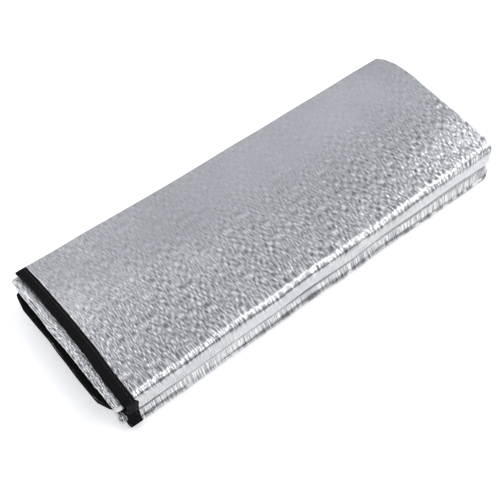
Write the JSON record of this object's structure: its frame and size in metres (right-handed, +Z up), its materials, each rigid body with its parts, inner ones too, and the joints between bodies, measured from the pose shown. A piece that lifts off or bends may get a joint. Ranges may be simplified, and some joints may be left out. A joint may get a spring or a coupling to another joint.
{
  "type": "foam sleeping pad",
  "caption": "Silver-faced foam sleeping pad folded flat into a brick; its stacked panels hinge open at soft folds.",
  "frame": {"origin": "centre of the folded pad's underside", "axes": "+X along the folded length, away from the taped ends; +Y towards the side with the single fold; +Z up through the stack"},
  "size_m": [0.5, 0.198, 0.0519],
  "materials": {
    "silver_film": "crinkled metallised plastic film, glossy",
    "white_foam": "closed-cell foam, matt",
    "black_tape": "woven polyester binding tape",
    "black_thread": "polyester sewing thread"
  },
  "bodies": {
    "panel_1": {"panel_1_foam": "white_foam", "panel_1_face_film": "silver_film", "panel_1_back_film": "silver_film", "panel_1_head_tape": "black_tape", "panel_1_foot_tape": "black_tape", "panel_1_stitching": "black_thread"},
    "panel_2": {"panel_2_foam": "white_foam", "panel_2_face_film": "silver_film", "panel_2_back_film": "silver_film", "panel_2_head_tape": "black_tape", "panel_2_foot_tape": "black_tape", "panel_2_stitching": "black_thread", "near_upper_fold_foam": "white_foam", "near_upper_fold_face_film": "silver_film", "near_upper_fold_back_film": "silver_film", "near_upper_fold_head_tape": "black_tape", "near_upper_fold_foot_tape": "black_tape", "near_upper_fold_stitching": "black_thread"},
    "panel_3": {"panel_3_foam": "white_foam", "panel_3_face_film": "silver_film", "panel_3_back_film": "silver_film", "panel_3_head_tape": "black_tape", "panel_3_foot_tape": "black_tape", "panel_3_stitching": "black_thread", "far_fold_foam": "white_foam", "far_fold_face_film": "silver_film", "far_fold_back_film": "silver_film", "far_fold_head_tape": "black_tape", "far_fold_foot_tape": "black_tape", "far_fold_stitching": "black_thread", "near_lower_fold_foam": "white_foam", "near_lower_fold_face_film": "silver_film", "near_lower_fold_back_film": "silver_film", "near_lower_fold_head_tape": "black_tape", "near_lower_fold_foot_tape": "black_tape", "near_lower_fold_stitching": "black_thread"},
    "panel_4": {"panel_4_foam": "white_foam", "panel_4_face_film": "silver_film", "panel_4_back_film": "silver_film", "panel_4_head_tape": "black_tape", "panel_4_foot_tape": "black_tape", "panel_4_stitching": "black_thread"}
  },
  "joints": [
    {"name": "near_upper_hinge", "type": "hinge", "parent": "panel_2", "child": "panel_1", "pos_m": [0, -0.08618, 0.03905], "axis": [1, 0, 0], "range_deg": [0, 180], "deforming": ["near_upper_fold_foam", "near_upper_fold_face_film", "near_upper_fold_back_film", "near_upper_fold_head_tape", "near_upper_fold_foot_tape", "near_upper_fold_stitching"]},
    {"name": "far_hinge", "type": "hinge", "parent": "panel_3", "child": "panel_2", "pos_m": [0, 0.08618, 0.02595], "axis": [-1, 0, 0], "range_deg": [0, 180], "deforming": ["far_fold_foam", "far_fold_face_film", "far_fold_back_film", "far_fold_head_tape", "far_fold_foot_tape", "far_fold_stitching"]},
    {"name": "near_lower_hinge", "type": "hinge", "parent": "panel_3", "child": "panel_4", "pos_m": [0, -0.08618, 0.01285], "axis": [-1, 0, 0], "range_deg": [0, 180], "deforming": ["near_lower_fold_foam", "near_lower_fold_face_film", "near_lower_fold_back_film", "near_lower_fold_head_tape", "near_lower_fold_foot_tape", "near_lower_fold_stitching"]}
  ]
}
